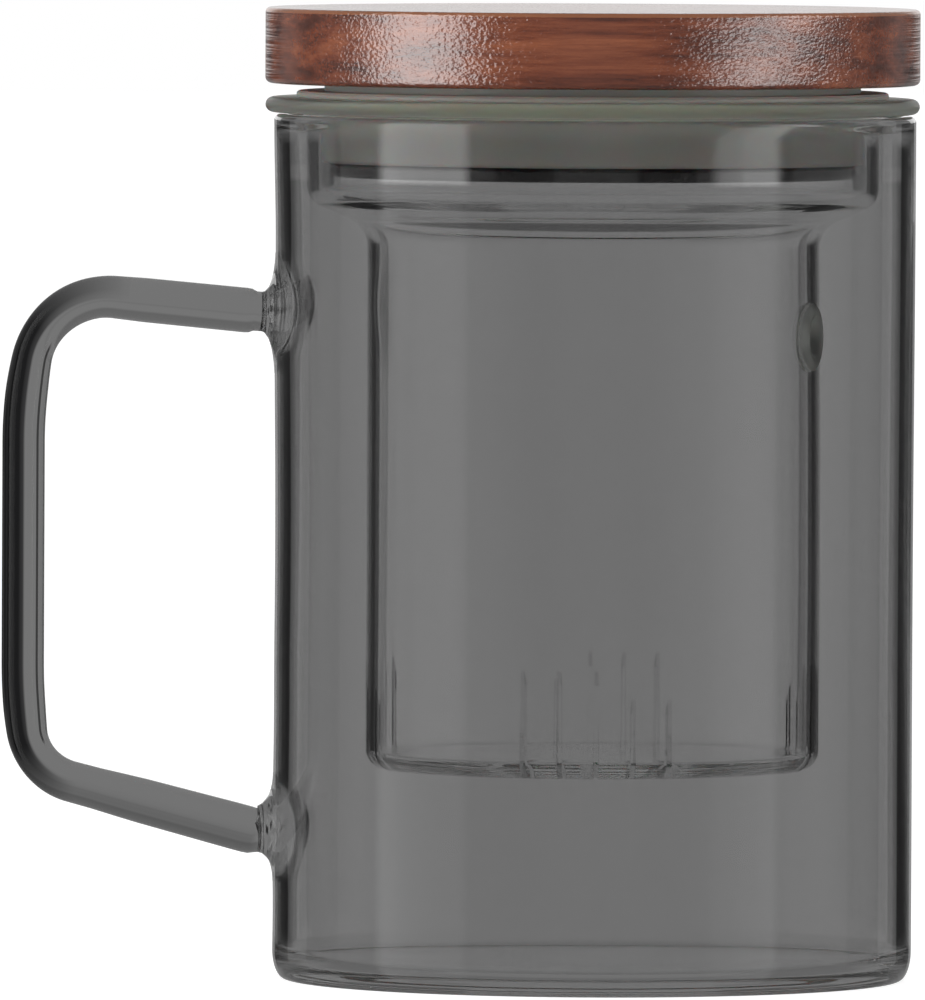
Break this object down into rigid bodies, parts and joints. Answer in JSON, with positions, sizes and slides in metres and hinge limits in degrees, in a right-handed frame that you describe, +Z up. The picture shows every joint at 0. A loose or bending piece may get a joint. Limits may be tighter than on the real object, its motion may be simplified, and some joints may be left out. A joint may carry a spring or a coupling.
{
  "type": "glass tea mug with lift-out infuser and wooden lid",
  "caption": "Straight-sided smoke-grey glass mug with a glass rod handle, a slotted glass infuser that hangs on its rim, and a wooden plug lid with a silicone seal.",
  "frame": {"origin": "on the mug's axis, in the plane of the flat base that the mug stands on", "axes": "+Z up along the mug's axis, -X towards the handle's grip, +Y away from the viewer of the side with the handle on the left"},
  "size_m": [0.1217, 0.0868, 0.1286],
  "materials": {
    "smoke_glass": "smoke-grey borosilicate glass, fire-polished",
    "handle_glass": "smoke-grey borosilicate rod, fire-polished",
    "clear_glass": "clear borosilicate glass, fire-polished, with sawn slits",
    "lacquered_wood": "reddish-brown turned wood under a satin lacquer",
    "silicone": "translucent whitish silicone, matt"
  },
  "bodies": {
    "mug": {"mug_body": "smoke_glass", "handle": "handle_glass"},
    "infuser": {"infuser": "clear_glass"},
    "lid": {"lid": "lacquered_wood", "lid_seal": "silicone"}
  },
  "joints": [
    {"name": "infuser_lift", "type": "slide", "parent": "mug", "child": "infuser", "axis": [0, 0, 1], "range_m": [0, 0.12]},
    {"name": "lid_lift", "type": "slide", "parent": "infuser", "child": "lid", "axis": [0, 0, 1], "range_m": [0, 0.06]}
  ]
}
